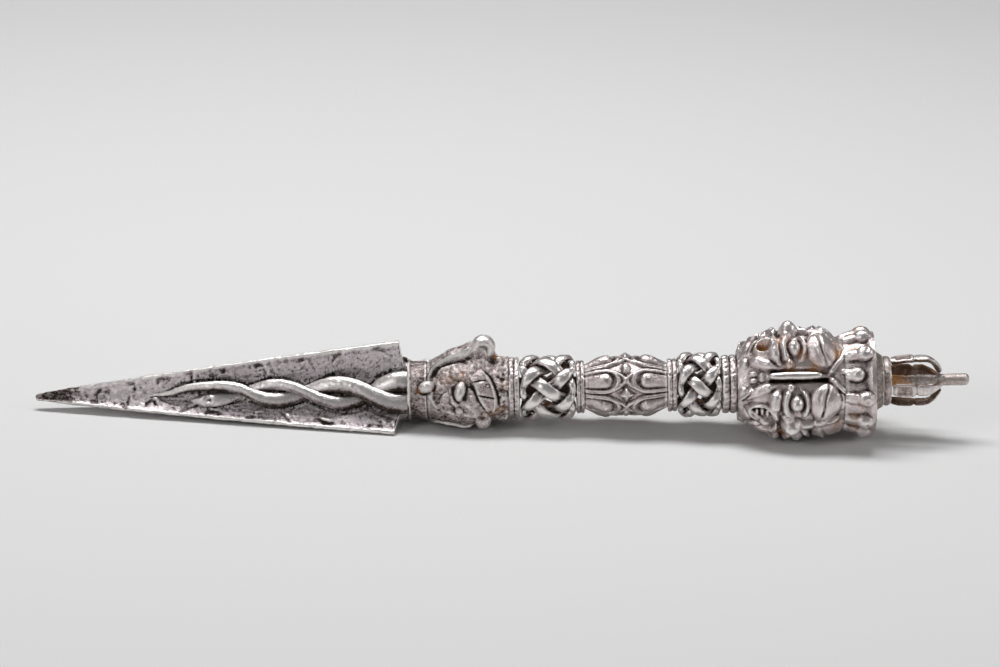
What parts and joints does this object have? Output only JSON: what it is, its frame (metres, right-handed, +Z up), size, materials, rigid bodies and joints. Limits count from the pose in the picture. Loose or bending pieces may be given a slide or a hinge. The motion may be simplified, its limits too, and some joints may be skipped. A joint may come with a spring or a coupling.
{
  "type": "ritual dagger",
  "caption": "Small cast metal phurba with a three-edged blade, serpents, makara heads, knotwork, a sculpted grip, a wrathful three-faced head and a half-vajra finial.",
  "frame": {"origin": "the dagger lies on a table as it rests, and the origin is on the table under the middle of its box", "axes": "+X runs from the blade's point to the finial's tip, +Z is up from the table, -Y is the side that is shown; the dagger's own axis rises towards the finial by about three degrees"},
  "size_m": [0.1798, 0.0226, 0.0229],
  "materials": {
    "blade": "grainy cast white metal, bright worn rims, punched marks, brown rust at the point",
    "serpents": "cast white metal, smooth worn tops, grey patina at the sides",
    "core": "dull rod with brown patina, seen through the knots",
    "makara": "rough cast white metal with warm brown patina in the hollows",
    "handle": "worn cast white metal, bright tops, brown and orange patina in the grooves",
    "head": "worn cast white metal, polished bosses, brown and orange patina in the hollows",
    "finial": "cast white metal, bright prongs with grey-brown patina",
    "finial_spindle": "rough golden residue inside the cage, grey tip"
  },
  "bodies": {
    "root": {"blade": "blade", "long_serpent_1": "serpents", "long_serpent_2": "serpents", "long_serpent_3": "serpents", "short_serpent_1": "serpents", "short_serpent_2": "serpents", "short_serpent_3": "serpents", "core_rod": "core", "blade_collar": "makara", "makara_heads": "makara", "makara_trunk_1": "makara", "makara_trunk_2": "makara", "makara_trunk_3": "makara", "makara_ring": "handle", "lower_knot_strap_1": "handle", "lower_knot_strap_2": "handle", "grip_lower_ring": "handle", "grip": "handle", "grip_upper_ring": "handle", "upper_knot_strap_1": "handle", "upper_knot_strap_2": "handle", "neck_ring": "handle", "head": "head", "hair_roll_1": "head", "hair_roll_2": "head", "hair_roll_3": "head", "crown": "head", "crown_cap": "head", "finial_collar": "finial", "vajra_prong_1": "finial", "vajra_prong_2": "finial", "vajra_prong_3": "finial", "vajra_prong_4": "finial", "finial_spindle": "finial_spindle"}
  },
  "joints": []
}
